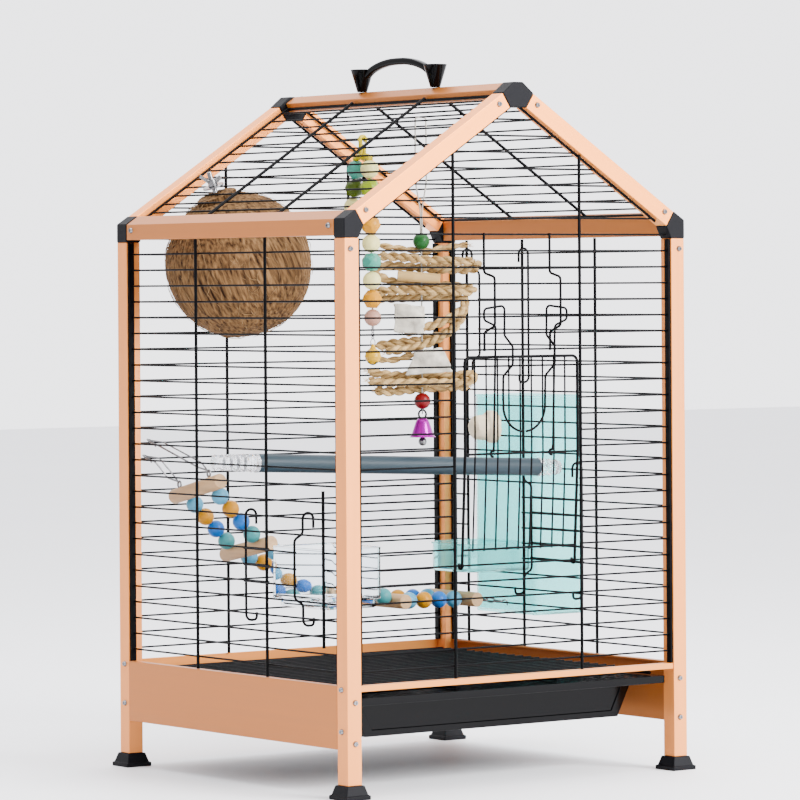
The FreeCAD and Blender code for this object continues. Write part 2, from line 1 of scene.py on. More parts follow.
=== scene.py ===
import json
import math
import random

import bmesh
import bpy
from mathutils import Matrix, Vector, noise


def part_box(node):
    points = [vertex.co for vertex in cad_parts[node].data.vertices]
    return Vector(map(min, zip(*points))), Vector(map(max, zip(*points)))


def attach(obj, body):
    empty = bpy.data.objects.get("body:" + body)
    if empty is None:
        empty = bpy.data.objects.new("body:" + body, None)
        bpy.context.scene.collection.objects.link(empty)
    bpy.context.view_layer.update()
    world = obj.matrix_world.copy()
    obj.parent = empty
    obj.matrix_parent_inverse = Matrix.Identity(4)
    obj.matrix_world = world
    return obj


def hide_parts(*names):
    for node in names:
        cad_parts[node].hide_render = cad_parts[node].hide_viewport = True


# Bird cage on a stand. Lengths are in metres; places are taken from the CAD frame's boxes.

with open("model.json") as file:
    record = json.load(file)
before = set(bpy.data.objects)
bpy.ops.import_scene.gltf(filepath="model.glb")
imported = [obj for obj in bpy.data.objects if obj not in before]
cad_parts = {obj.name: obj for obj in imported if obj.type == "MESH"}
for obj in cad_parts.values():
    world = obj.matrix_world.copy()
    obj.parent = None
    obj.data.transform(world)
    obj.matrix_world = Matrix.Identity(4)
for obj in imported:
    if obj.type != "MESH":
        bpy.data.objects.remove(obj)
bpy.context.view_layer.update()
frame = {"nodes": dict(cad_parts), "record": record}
MM = 0.001
near_post, far_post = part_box("post_front_left")[0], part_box("post_rear_right")[1]
MID = Vector(((near_post.x + far_post.x) / 2, (near_post.y + far_post.y) / 2, 0))
HALF_W, HALF_D = (far_post.x - near_post.x) / 2 / MM, (far_post.y - near_post.y) / 2 / MM
SLOPE = math.radians(32.8)
WIRE_INSET = 5.9
WIRE_X, WIRE_Y = HALF_W - WIRE_INSET, HALF_D - WIRE_INSET
WIRE_PITCH, TOP_WIRE, EAVE_EDGE = 15.4, 515.5, 529.2
HUSK_LEAN = 0.45
rng = random.Random(7)


def at(x, y, z):
    """A place given in millimetres from the cage's middle, on the floor."""
    return MID + Vector((x, y, z)) * MM


def level(k):
    """Height in millimetres of the k-th horizontal wire, counted down from the eave."""
    return TOP_WIRE - WIRE_PITCH * k


# Camera, floor and light ------------------------------------------------------------------------

camera = bpy.data.objects.new("camera", bpy.data.cameras.new("camera"))
bpy.context.scene.collection.objects.link(camera)
yaw, pitch, roll = 0.6386, 0.0011, -0.0065
forward = Vector((math.sin(yaw) * math.cos(pitch), math.cos(yaw) * math.cos(pitch), math.sin(pitch)))
right = Vector((math.cos(yaw), -math.sin(yaw), 0))
above = right.cross(forward)
right, above = (math.cos(roll) * right + math.sin(roll) * above,
                -math.sin(roll) * right + math.cos(roll) * above)
turn = Matrix((right, above, -forward)).transposed().to_4x4()
camera.matrix_world = Matrix.Translation(at(-2498.9, -3368.3, 466.6)) @ turn
camera.data.sensor_width = 36
camera.data.lens = 194.15
camera.data.shift_y = -0.1469
camera.data.clip_end = 50
bpy.context.scene.camera = camera

world = bpy.data.worlds.new("studio")
bpy.context.scene.world = world
world.use_nodes = True
studio = world.node_tree
studio.nodes["Background"].inputs["Color"].default_value = (0.93, 0.93, 0.965, 1)
around = studio.nodes.new("ShaderNodeTexCoord")
parts = studio.nodes.new("ShaderNodeSeparateXYZ")
fade = studio.nodes.new("ShaderNodeMapRange")
fade.inputs["From Min"].default_value, fade.inputs["From Max"].default_value = -0.9, 0.35
fade.inputs["To Min"].default_value, fade.inputs["To Max"].default_value = 1.1, 3.5
studio.links.new(around.outputs["Generated"], parts.inputs["Vector"])
studio.links.new(parts.outputs["X"], fade.inputs["Value"])
studio.links.new(fade.outputs["Result"], studio.nodes["Background"].inputs["Strength"])


def area_light(name, place, target, size, power, colour=(1, 1, 1)):
    lamp = bpy.data.lights.new(name, "AREA")
    lamp.size, lamp.energy, lamp.color = size, power, colour
    obj = bpy.data.objects.new(name, lamp)
    bpy.context.scene.collection.objects.link(obj)
    obj.location = place
    obj.rotation_euler = (Vector(target) - Vector(place)).to_track_quat("-Z", "Y").to_euler()


area_light("key", at(900, -2900, 1700), at(0, 0, 300), 1.6, 330)
area_light("fill", at(-2600, -900, 1300), at(0, 0, 300), 2.0, 12)
area_light("top", at(0, 300, 2400), at(0, 0, 300), 2.2, 70)

floor_mesh = bpy.data.meshes.new("floor")
floor_mesh.from_pydata([(-9, -9, 0), (9, -9, 0), (9, 9, 0), (-9, 9, 0)], [], [(0, 1, 2, 3)])
floor = bpy.data.objects.new("floor", floor_mesh)
bpy.context.scene.collection.objects.link(floor)

# Materials --------------------------------------------------------------------------------------

# Opaque colours are multiplied by this for the bright studio, so one written above 1 ends below it.
LIT = 0.42


def material(name, colour, rough, metal=0.0, spread=0.08, scale=60.0, bump=0.0, bump_scale=900.0,
             stretch=(1, 1, 1), turn_y=0.0, other=None, **sockets):
    """Principled material whose colour and roughness vary, with a fine bump."""
    if "Transmission_Weight" not in sockets:
        colour, other = [c * LIT for c in colour], other and [c * LIT for c in other]
    mat = bpy.data.materials.new(name)
    mat.use_nodes = True
    tree = mat.node_tree
    shader = tree.nodes["Principled BSDF"]
    where = tree.nodes.new("ShaderNodeTexCoord")
    place = tree.nodes.new("ShaderNodeMapping")
    place.vector_type = "TEXTURE"
    place.inputs["Scale"].default_value = [1 / k for k in stretch]
    place.inputs["Rotation"].default_value = (0, turn_y, 0)
    tree.links.new(where.outputs["Object"], place.inputs["Vector"])
    broad = tree.nodes.new("ShaderNodeTexNoise")
    broad.inputs["Scale"].default_value = scale
    broad.inputs["Detail"].default_value = 5
    tree.links.new(place.outputs["Vector"], broad.inputs["Vector"])
    tint = tree.nodes.new("ShaderNodeValToRGB")
    dark = [c * (1 - spread) for c in colour] + [1]
    light = list(other) + [1] if other else [min(1, c * (1 + spread)) for c in colour] + [1]
    tint.color_ramp.elements[0].position, tint.color_ramp.elements[1].position = 0.3, 0.7
    tint.color_ramp.elements[0].color, tint.color_ramp.elements[1].color = dark, light
    tree.links.new(broad.outputs["Fac"], tint.inputs["Fac"])
    tree.links.new(tint.outputs["Color"], shader.inputs["Base Color"])
    span = tree.nodes.new("ShaderNodeMapRange")
    span.inputs["To Min"].default_value = max(0.02, rough - 0.06)
    span.inputs["To Max"].default_value = rough + 0.06
    tree.links.new(broad.outputs["Fac"], span.inputs["Value"])
    tree.links.new(span.outputs["Result"], shader.inputs["Roughness"])
    shader.inputs["Metallic"].default_value = metal
    for socket, value in sockets.items():
        shader.inputs[socket.replace("_", " ")].default_value = value
    if bump:
        fine = tree.nodes.new("ShaderNodeTexNoise")
        fine.inputs["Scale"].default_value = bump_scale
        fine.inputs["Detail"].default_value = 4
        tree.links.new(place.outputs["Vector"], fine.inputs["Vector"])
        relief = tree.nodes.new("ShaderNodeBump")
        relief.inputs["Strength"].default_value = bump
        relief.inputs["Distance"].default_value = 0.0004
        tree.links.new(fine.outputs["Fac"], relief.inputs["Height"])
        tree.links.new(relief.outputs["Normal"], shader.inputs["Normal"])
    return mat


def rose_gold(name, stretch, turn_y=0.0, colour=(1.8, 0.6, 0.125)):
    """Anodised aluminium, brushed along one direction; copies given another colour hold painted light or
    shade.
    """
    return material(name, colour, 0.42, metal=0.45, spread=0.03, scale=220, bump=0.12,
                    bump_scale=520, stretch=stretch, turn_y=turn_y)


MAT = {
    "gold_z": rose_gold("rose_gold_upright", (1, 1, 0.02)),
    # gold_y: a much darker copy of the same metal, painted shade for the side rails, side panels and ridge
    # beam.
    "gold_y": rose_gold("rose_gold_along", (1, 0.02, 1), colour=(0.98, 0.3, 0.038)),
    # gold_x: a slightly darker copy, painted shade for the front rail and back panel; gold_left and
    # gold_right: lighter copies, painted light for the rafters.
    "gold_x": rose_gold("rose_gold_across", (0.02, 1, 1), colour=(1.6, 0.54, 0.085)),
    "gold_left": rose_gold("rose_gold_rising", (0.02, 1, 1), -SLOPE, (2.2, 0.7, 0.11)),
    "gold_right": rose_gold("rose_gold_falling", (0.02, 1, 1), SLOPE, (2.2, 0.7, 0.11)),
    "plastic": material("black_moulding", (0.0055, 0.0055, 0.0085), 0.55, spread=0.2, bump=0.35,
                        bump_scale=2600, Specular_IOR_Level=0.1),
    "wire": material("black_powder_coat", (0.0022, 0.0022, 0.0032), 0.42, spread=0.3, bump=0.3,
                     bump_scale=3000, Specular_IOR_Level=0.05),
    "tray": material("black_gloss", (0.0014, 0.0014, 0.002), 0.14, spread=0.3, scale=12, bump=0.05,
                     bump_scale=60, Specular_IOR_Level=0.09),
    "chrome": material("bright_chrome", (0.5, 0.5, 0.52), 0.16, metal=1.0, spread=0.04, bump=0.1),
    "steel": material("plain_steel", (0.38, 0.38, 0.39), 0.28, metal=1.0, spread=0.1, bump=0.15),
    "perch": material("perch_blue_grey", (0.045, 0.08, 0.105), 0.46, spread=0.12, scale=160, bump=0.3,
                      bump_scale=700, stretch=(0.05, 1, 1), Specular_IOR_Level=0.2),
    "clear": material("clear_acrylic", (0.9, 0.94, 0.97), 0.0, spread=0.02, scale=30,
                      Transmission_Weight=1.0, IOR=1.13),
    "clear_cap": material("clear_ribbed", (0.93, 0.95, 1.0), 0.1, spread=0.04, bump=0.6,
                          bump_scale=260, Transmission_Weight=0.9, IOR=1.45),
    "mint": material("mint_see_through", (0.46, 0.9, 0.89), 0.05, spread=0.04, scale=9, bump=0.06,
                     bump_scale=90, Transmission_Weight=0.86, IOR=1.18),
    "mineral": material("mineral_block", (1.7, 1.42, 1.0), 0.85, spread=0.14, scale=90, bump=0.9,
                        bump_scale=500),
    "coconut": material("coconut_husk", (0.045, 0.015, 0.004), 0.8, spread=0.3, scale=330, bump=1.0,
                        bump_scale=1100, stretch=(1, 1, 0.1), turn_y=-HUSK_LEAN, other=(0.52, 0.28, 0.115),
                        Specular_IOR_Level=0.08),
    "fibre": material("coconut_fibre", (0.24, 0.115, 0.04), 0.7, spread=0.5, scale=160,
                      other=(0.62, 0.37, 0.17), bump=0.3, Specular_IOR_Level=0.1),
    "wood": material("bare_wood", (1.0, 0.6, 0.28), 0.62, spread=0.14, scale=240, bump=0.35,
                     bump_scale=700, stretch=(1, 0.05, 1)),
    "bamboo": material("bamboo_stick", (0.95, 0.6, 0.2), 0.5, spread=0.12, scale=180, bump=0.3,
                       bump_scale=600, stretch=(0.1, 0.1, 1)),
    "loofah": material("white_loofah", (1.1, 1.02, 0.86), 0.9, spread=0.34, scale=120, bump=1.0,
                       bump_scale=420),
    "seagrass": material("seagrass_rope", (0.5, 0.27, 0.08), 0.75, spread=0.3, scale=300,
                         other=(1.3, 0.88, 0.38), bump=0.8, bump_scale=1500, stretch=(0.25, 0.25, 1),
                         Specular_IOR_Level=0.1),
    "string": material("white_string", (0.72, 0.68, 0.6), 0.8, spread=0.15, scale=500, bump=0.6,
                       bump_scale=2000),
    "yellow": material("yellow_enamel", (1.1, 0.6, 0.0005), 0.25, spread=0.05,
                       Specular_IOR_Level=0.25),
    "yellow_plastic": material("yellow_moulding", (1.0, 0.76, 0.0005), 0.3, spread=0.06, bump=0.1,
                               Specular_IOR_Level=0.2),
    "magenta": material("magenta_enamel", (0.66, 0.0005, 0.62), 0.2, metal=0.6, spread=0.08,
                        Specular_IOR_Level=0.15),
}
floor_mesh.materials.append(material("pale_floor", (2.1, 2.1, 2.16), 0.6, spread=0.01, scale=2))
BEAD_COLOURS = {"pale_blue": (0.16, 0.62, 0.95), "amber": (1.05, 0.44, 0.0005), "blue": (0.006, 0.24, 0.9),
                "aqua": (0.09, 0.5, 0.52), "cream": (1.4, 1.28, 0.5), "lime": (0.42, 0.6, 0.002),
                "teal": (0.08, 0.52, 0.38), "olive": (0.09, 0.15, 0.002), "rosewood": (0.8, 0.42, 0.3),
                "green": (0.012, 0.16, 0.025), "red": (0.3, 0.002, 0.006)}
for name, colour in BEAD_COLOURS.items():
    MAT[name] = material("bead_" + name, colour, 0.36, spread=0.07, scale=120, bump=0.25,
                         bump_scale=500, Specular_IOR_Level=0.2)

# Mesh tools -------------------------------------------------------------------------------------


def piece(name, bm, body, keys, stands_for=(), smooth=True):
    """Make a piece of a bmesh, ride it on its body and give it its materials."""
    mesh = bpy.data.meshes.new(name)
    bmesh.ops.recalc_face_normals(bm, faces=bm.faces)
    bm.to_mesh(mesh)
    bm.free()
    for key in keys:
        mesh.materials.append(MAT[key])
    obj = bpy.data.objects.new(name, mesh)
    bpy.context.scene.collection.objects.link(obj)
    if smooth:
        mesh.shade_smooth()
        mesh.set_sharp_from_angle(angle=math.radians(38))
    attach(obj, body)
    if stands_for:
        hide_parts(*stands_for)
    return obj


def side_of(direction):
    """A unit vector square to a direction."""
    return direction.orthogonal().normalized()


def sweep(bm, points, radius, sides=12, mat=0, ends=True):
    """Round bar along points in metres; radius is one length or one per point."""
    points = [Vector(p) for p in points]
    radii = radius if isinstance(radius, list) else [radius] * len(points)
    last = len(points) - 1
    across = None
    rings = []
    for i, (p, r) in enumerate(zip(points, radii)):
        way = (points[min(i + 1, last)] - points[max(i - 1, 0)]).normalized()
        across = side_of(way) if across is None else (across - way * across.dot(way)).normalized()
        other = way.cross(across)
        rings.append([bm.verts.new(p + (across * math.cos(t) + other * math.sin(t)) * r)
                      for t in (2 * math.pi * j / sides for j in range(sides))])
    for a, b in zip(rings, rings[1:]):
        for j in range(sides):
            face = bm.faces.new((a[j], a[(j + 1) % sides], b[(j + 1) % sides], b[j]))
            face.material_index = mat
    if ends:
        bm.faces.new(rings[0]).material_index = mat
        bm.faces.new(rings[-1]).material_index = mat
    return rings


def lathe(bm, profile, origin, axis, sides=32, mat=0):
    """Turned shape about an axis; profile holds (radius, height) in millimetres."""
    axis = Vector(axis).normalized()
    u = side_of(axis)
    v = axis.cross(u)
    rings = []
    for r, h in profile:
        centre = origin + axis * h * MM
        if r < 0.001:
            rings.append([bm.verts.new(centre)])
            continue
        rings.append([bm.verts.new(centre + (u * math.cos(t) + v * math.sin(t)) * r * MM)
                      for t in (2 * math.pi * j / sides for j in range(sides))])
    for a, b in zip(rings, rings[1:]):
        for j in range(sides):
            k = (j + 1) % sides
            corners = [a[j % len(a)], a[k % len(a)], b[k % len(b)], b[j % len(b)]]
            kept = list(dict.fromkeys(corners))
            if len(kept) > 2:
                bm.faces.new(kept).material_index = mat
    return rings


def bent(points, radius, steps=6):
    """Path of a bent steel wire in millimetres: straight runs joined by bends of one radius."""
    points = [Vector(p) for p in points]
    out = [points[0]]
    for a, b, c in zip(points, points[1:], points[2:]):
        back, on = a - b, c - b
        room = 0.49 * min(back.length, on.length)
        back.normalize()
        on.normalize()
        half = back.angle(on) / 2
        if half > math.radians(86):
            out.append(b)
            continue
        reach = min(radius / math.tan(half), room)
        centre = b + (back + on).normalized() * (reach / math.cos(half))
        start, end = b + back * reach - centre, b + on * reach - centre
        whole = start.angle(end)
        out += [centre + (start * math.sin((1 - i / steps) * whole) + end * math.sin(i / steps * whole))
                / math.sin(whole) for i in range(steps + 1)]
    return out + [points[-1]]


def wire(bm, points, radius, bend=0.0, sides=12, mat=0):
    """Steel wire along millimetre points, its corners bent to a radius."""
    path = bent(points, bend) if bend else [Vector(p) for p in points]
    sweep(bm, [at(*p) for p in path], radius * MM, sides, mat)


def turn_points(centre, radius, start, stop, plane, steps=20):
    """Points of an arc about a centre in millimetres, in plane xz or yz."""
    first = {"xz": 0, "yz": 1}[plane]
    points = []
    for i in range(steps + 1):
        angle = math.radians(start + (stop - start) * i / steps)
        p = list(centre)
        p[first] += radius * math.cos(angle)
        p[2] += radius * math.sin(angle)
        points.append(tuple(p))
    return points


def flowing(points, steps=10):
    """Smooth line through a few places (Catmull-Rom)."""
    points = [Vector(p) for p in points]
    ends = [points[0] * 2 - points[1]] + points + [points[-1] * 2 - points[-2]]
    line = []
    for a, b, c, d in zip(ends, ends[1:], ends[2:], ends[3:]):
        for i in range(steps):
            t = i / steps
            line.append(0.5 * (2 * b + (c - a) * t + (2 * a - 5 * b + 4 * c - d) * t * t
                               + (3 * b - a - 3 * c + d) * t ** 3))
    return line + [points[-1]]


def evenly(line, step):
    """The same line with points a step apart."""
    out, spare = [line[0]], step
    for a, b in zip(line, line[1:]):
        gap = (b - a).length
        while gap >= spare > 0:
            a = a + (b - a).normalized() * spare
            out.append(a)
            gap, spare = (b - a).length, step
        spare -= gap
    return out


PER_TURN = 18


def twisted(bm, line, lay, strand, pitch, hand=1, strands=2, mat=0, sides=8):
    """Strands laid round a line, PER_TURN points to a turn; lay is their distance from it."""
    line = evenly(line, pitch / PER_TURN)
    last = len(line) - 1
    across = None
    paths = [[] for _ in range(strands)]
    for i, p in enumerate(line):
        way = (line[min(i + 1, last)] - line[max(i - 1, 0)]).normalized()
        across = side_of(way) if across is None else (across - way * across.dot(way)).normalized()
        other = way.cross(across)
        for s in range(strands):
            angle = hand * 2 * math.pi * i / PER_TURN + 2 * math.pi * s / strands
            paths[s].append(p + (across * math.cos(angle) + other * math.sin(angle)) * lay)
    for path in paths:
        radii = [strand * (0.35 + 0.65 * min(1, i / 3, (last - i) / 3)) for i in range(last + 1)]
        sweep(bm, path, radii, sides, mat)


def islands(node):
    """Lowest and highest corners of each separate solid in a CAD node."""
    bm = bmesh.new()
    bm.from_mesh(frame["nodes"][node].data)
    bmesh.ops.remove_doubles(bm, verts=bm.verts, dist=1e-6)
    seen, found = set(), []
    for vert in bm.verts:
        if vert in seen:
            continue
        group, queue = [], [vert]
        seen.add(vert)
        while queue:
            v = queue.pop()
            group.append(v.co.copy())
            for edge in v.link_edges:
                other = edge.other_vert(v)
                if other not in seen:
                    seen.add(other)
                    queue.append(other)
        found.append((Vector([min(c[i] for c in group) for i in range(3)]),
                      Vector([max(c[i] for c in group) for i in range(3)])))
    bm.free()
    return found


def balls(node):
    """Centre and radius of each ball in a CAD node, from left to right and top to bottom."""
    return sorted((((a + b) / 2, (b.x - a.x) / 2) for a, b in islands(node)),
                  key=lambda found: (round(found[0].x, 3), -found[0].z))


def outline(x1, x2, y1, y2, corner, near=None, steps=6):
    """Rounded rectangle in millimetres; near is the corner radius on its low-X end."""
    near = corner if near is None else near
    points = []
    for cx, cy, r, start in ((x2 - corner, y2 - corner, corner, 0), (x1 + near, y2 - near, near, 90),
                             (x1 + near, y1 + near, near, 180), (x2 - corner, y1 + corner, corner, 270)):
        for i in range(steps + 1):
            angle = math.radians(start + 90 * i / steps)
            points.append((cx + r * math.cos(angle), cy + r * math.sin(angle)))
    return points


def tub(bm, low, high, wall, corner, near=None, mat=0, lip=0.0):
    """Open-topped moulded box with rounded corners, an even wall and an optional outward lip."""
    (x1, y1, z1), (x2, y2, z2) = low, high
    near = corner if near is None else near
    soft = 1.5
    loops = [(soft, z1), (soft * 0.3, z1 + soft * 0.3), (0, z1 + soft)]
    loops += [(0, z2 - 2.2), (-lip, z2 - 1.8), (-lip, z2)] if lip else [(0, z2 - 0.4), (0.4, z2)]
    loops += [(wall - 0.4, z2), (wall, z2 - 0.4), (wall, z1 + wall + soft), (wall + soft, z1 + wall)]
    rings = []
    for inset, z in loops:
        shape = outline(x1 + inset, x2 - inset, y1 + inset, y2 - inset, max(0.4, corner - inset),
                        max(0.4, near - inset))
        rings.append([bm.verts.new(at(x, y, z)) for x, y in shape])
    many = len(rings[0])
    for a, b in zip(rings, rings[1:]):
        for j in range(many):
            k = (j + 1) % many
            bm.faces.new((a[j], a[k], b[k], b[j])).material_index = mat
    bm.faces.new(rings[0]).material_index = mat
    bm.faces.new(rings[-1]).material_index = mat


def ease(node, width, segments=3):
    """Softened edges on a CAD node, as modifiers: the node's own mesh stays as it is."""
    obj = frame["nodes"][node]
    weld = obj.modifiers.new("weld", "WELD")
    weld.merge_threshold = 1e-6
    flat = obj.modifiers.new("flat", "DECIMATE")
    flat.decimate_type, flat.angle_limit = "DISSOLVE", math.radians(1)
    bevel = obj.modifiers.new("edges", "BEVEL")
    bevel.width, bevel.segments = width * MM, segments
    bevel.limit_method, bevel.angle_limit = "ANGLE", math.radians(28)
    bevel.harden_normals = True


def paint(node, key):
    mesh = frame["nodes"][node].data
    mesh.materials.clear()
    mesh.materials.append(MAT[key])


# CAD nodes that stay: finish and softened edges -------------------------------------------------

slot_of = {s["node"]: s["material_slot"] for s in frame["record"]["subparts"]}
for node in frame["nodes"]:
    name = slot_of[node]
    paint(node, {"frame_metal": "gold_z", "black_plastic": "plastic", "wire_black": "wire",
                 "tray_black": "tray", "screw_chrome": "chrome", "perch_grey": "perch",
                 "clear_plastic": "clear", "mint_plastic": "mint", "bead_colours": "pale_blue",
                 "bell_yellow": "yellow", "bell_magenta": "magenta", "bare_wood": "wood"}.get(name, name))

CORNERS = ["front_left", "front_right", "rear_left", "rear_right"]
for corner in CORNERS:
    ease("post_" + corner, 0.7)
    ease("foot_" + corner, 0.9)
    ease("corner_block_" + corner, 0.9)
# Rafters take the lightened copies gold_left and gold_right: painted light.
for place in ("front", "rear"):
    ease("ridge_block_" + place, 0.9)
    for side in ("left", "right"):
        paint("rafter_%s_%s" % (place, side), "gold_" + side)
        ease("rafter_%s_%s" % (place, side), 0.7)
# Side rails and side panels take the darkened copy of the metal: painted shade.
for side in ("left", "right"):
    for node in ("eave_rail_", "side_panel_"):
        paint(node + side, "gold_y")
        ease(node + side, 0.5)
# The ridge beam takes the same darkened copy: painted shade.
paint("ridge_beam", "gold_y")
ease("ridge_beam", 0.8)
# Front rail and back panel take the slightly darkened copy of the metal: painted shade.
for node in ("front_rail", "back_panel"):
    paint(node, "gold_x")
    ease(node, 0.5)
ease("tray", 0.9)
ease("frame_screws", 0.25, 2)
ease("nest_bolt", 0.3, 2)
ease("nest_wing_nut", 0.35, 2)
ease("ladder_dowels", 0.7)

# Door, latch and flaps: bent steel wire ---------------------------------------------------------

# OUT is the posts' front face; LEAN is how far the door's lower half tips in towards the grille.
OUT = -HALF_D
DOOR_Y, LEAN = OUT - 2, 5.2
DOOR_WIRE, FILL_PITCH = 1.4, 13.4
door_low, door_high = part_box("front_door")
DOOR_HALF = (door_high.x - door_low.x) / 2 / MM - DOOR_WIRE
DOOR_TOP = door_high.z / MM - DOOR_WIRE
HINGE_Z, MID_BAR, LOW_BAR = level(20), 310.8, 222


def keepers():
    bm = bmesh.new()
    for x in (-39.1, 39.1):
        wire(bm, [(x, OUT + 3.7, 516.8), (x, OUT + 3.7, 479.5), (x, OUT - 12.5, 475.5),
                  (x, OUT - 12.5, 430), (x, OUT + 3.7, 424), (x, OUT + 3.7, 406.4)], 1.2, 4)
    piece("latch_keepers", bm, "cage", ["wire"], ["latch_keeper_rods"])


def door():
    bm = bmesh.new()
    eyes = {}
    for s in (-1, 1):
        x = s * DOOR_HALF
        eyes[s] = [(x, DOOR_Y + LEAN, 218)] + turn_points((x, -WIRE_Y, HINGE_Z), 2.65, 150, 400, "yz")
    top = [(-DOOR_HALF, DOOR_Y, DOOR_TOP), (DOOR_HALF, DOOR_Y, DOOR_TOP)]
    knees = [(s * DOOR_HALF, DOOR_Y, MID_BAR) for s in (-1, 1)]
    hoop = bent([eyes[-1][0], knees[0], *top, knees[1], eyes[1][0]], 6, 8)
    sweep(bm, [at(*p) for p in list(reversed(eyes[-1]))[:-1] + hoop + eyes[1][1:]], DOOR_WIRE * MM,
          14)
    span = DOOR_HALF - 1
    for y, z in ((DOOR_Y + LEAN - 0.3, LOW_BAR), (DOOR_Y, MID_BAR)):
        wire(bm, [(-span, y, z), (span, y, z)], 1.1)
    for i in range(-4, 5):
        x = i * FILL_PITCH
        wire(bm, [(x, DOOR_Y + LEAN + 1.6, 220), (x, DOOR_Y + 2.1, MID_BAR),
                  (x, DOOR_Y + 2.1, DOOR_TOP + 0.6)], 0.85)
        for y, z in ((DOOR_Y + LEAN, LOW_BAR), (DOOR_Y, MID_BAR), (DOOR_Y, DOOR_TOP)):
            lathe(bm, [(0, -0.8), (1.0, -0.5), (1.15, 0), (1.0, 0.5), (0, 0.8)],
                  at(x, y + 1.3, z), (0, 1, 0), 10)
    piece("door_wires", bm, "door", ["wire"], ["front_door"])


def latch(side, s):
    bm = bmesh.new()
    eye = [(s * 35, y, z) for _, y, z in turn_points((0, DOOR_Y, MID_BAR), 2.55, -115, 135, "yz")]
    curve = turn_points((0, DOOR_Y - 4, 356), 25, -9, -85, "xz", 16)
    arm = bent([eye[-1], (s * 35.2, DOOR_Y - 2.6, 318), (s * 35.2, OUT - 8.5, 430),
                (s * 49.2, OUT - 9, 435.5), (s * 49.2, OUT - 9, 446), (s * 25, OUT - 9, 449),
                (s * 25, OUT - 8.5, 421), (s * 25, OUT - 21, 411), (s * 25, OUT - 21, 394),
                (s * 25, OUT - 6.4, 383), (s * 25, DOOR_Y - 4, 366), (s * curve[0][0], *curve[0][1:])], 4)
    path = eye[:-1] + arm + [(s * x, y, z) for x, y, z in curve[1:]]
    sweep(bm, [at(*p) for p in path], 1.1 * MM, 12)
    piece("latch_wire_" + side, bm, "latch_" + side, ["wire"], ["latch_arm_" + side])


def flap(label, body, sx, straight_y, jogged_y, low, high, levels):
    bm = bmesh.new()
    x = sx * (HALF_W + 0.1)
    tip, jog = x - sx * 12, x + sx * 9.5
    middle = (level(levels[0]) + level(levels[-1])) / 2
    grip = (level(levels[0]) - level(levels[-1])) / 2 + 12
    for y, out in ((straight_y, x), (jogged_y, jog)):
        steps = [] if out == x else [(x, y, middle + grip + 5), (out, y, middle + grip),
                                     (out, y, middle - grip), (x, y, middle - grip - 5)]
        wire(bm, [(tip, y, high - 14), (tip, y, high), (x, y, high), *steps, (x, y, low),
                  (tip, y, low), (tip, y, low + 7)], 1.2, 5.8)
    for k in levels:
        wire(bm, [(x + sx * 2.1, straight_y, level(k)), (jog - sx * 1.5, jogged_y, level(k))], 0.9)
    piece(label + "_wires", bm, body, ["wire"], [label])


keepers()
door()
latch("left", -1)
latch("right", 1)
flap("feeder_flap_left", "flap_left", -1, -29, -121.5, 155, 259, [19, 20, 21])
flap("feeder_flap_right_low", "cage", 1, -31, 62, 156, 291, [17, 18, 19, 20, 21])
flap("feeder_flap_right_high", "flap_right_high", 1, 53, 146, 370, 505, [3, 4, 5, 6, 7])

# Black edge bars of the roof and gable panels ---------------------------------------------------


def on_roof(side, y, up, inset):
    """A place on one roof slope: millimetres up from the eave edge and in from the top face."""
    return (side * (HALF_W - up * math.cos(SLOPE) - inset * math.sin(SLOPE)), y,
            EAVE_EDGE + up * math.sin(SLOPE) - inset * math.cos(SLOPE))


def edge_bars():
    bm = bmesh.new()
    bar, ridge_bar = 1.3, 1.6
    reach = (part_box("roof_grille_left")[1].y - MID.y) / MM - 1.2
    for side in (-1, 1):
        for y in (-WIRE_Y, WIRE_Y):
            wire(bm, [on_roof(side, y, 26, 17.6), on_roof(side, y, 226, 17.6)], bar, 0, 10)
        for y in (-reach, reach):
            wire(bm, [on_roof(side, y, 20, WIRE_INSET), on_roof(side, y, 226, WIRE_INSET)], bar, 0, 10)
        wire(bm, [on_roof(side, -reach, 19, 5.4), on_roof(side, reach, 19, 5.4)], bar, 0, 10)
        wire(bm, [on_roof(side, -reach, 225, 6.5), on_roof(side, reach, 225, 6.5)], ridge_bar, 0, 10)
    piece("roof_edge_bars", bm, "cage", ["wire"])


edge_bars()

# Carry handle: two flared cups and an arched strap ----------------------------------------------


def handle():
    bm = bmesh.new()
    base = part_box("handle")[0].z / MM
    cup = [(4.6, 0), (5.0, 0.3), (11.1, 20.8), (11.4, 21.4), (11.3, 22.0), (10.6, 22.1), (10.0, 21.6),
           (9.4, 19.0), (0, 18.6)]
    for y in (-61, 58):
        lathe(bm, cup, at(0, y, base), (0, 0, 1), 40)
    line = flowing([(-51, 674.5), (-42, 679.4), (-29, 683.3), (-14, 685.6), (0, 686.1)], 8)
    line += [Vector((-p.x, p.y)) for p in reversed(line[:-1])]
    rings, sides = [], 20
    for i, p in enumerate(line):
        way = (line[min(i + 1, len(line) - 1)] - line[max(i - 1, 0)]).normalized()
        up = Vector((-way.y, way.x))
        ring = []
        for j in range(sides):
            t = 2 * math.pi * j / sides
            c, s = math.cos(t), math.sin(t)
            side = 3.7 * math.copysign(abs(c) ** 0.55, c)
            rise = 3.5 * math.copysign(abs(s) ** 0.7, s)
            place = p + up * rise
            ring.append(bm.verts.new(at(side, place.x - 1.5, place.y)))
        rings.append(ring)
    for a, b in zip(rings, rings[1:]):
        for j in range(sides):
            bm.faces.new((a[j], a[(j + 1) % sides], b[(j + 1) % sides], b[j]))
    bm.faces.new(rings[0])
    bm.faces.new(rings[-1])
    piece("carry_handle", bm, "cage", ["tray"], ["handle"])


handle()

# Perch caps: cut-crystal pattern ----------------------------------------------------------------


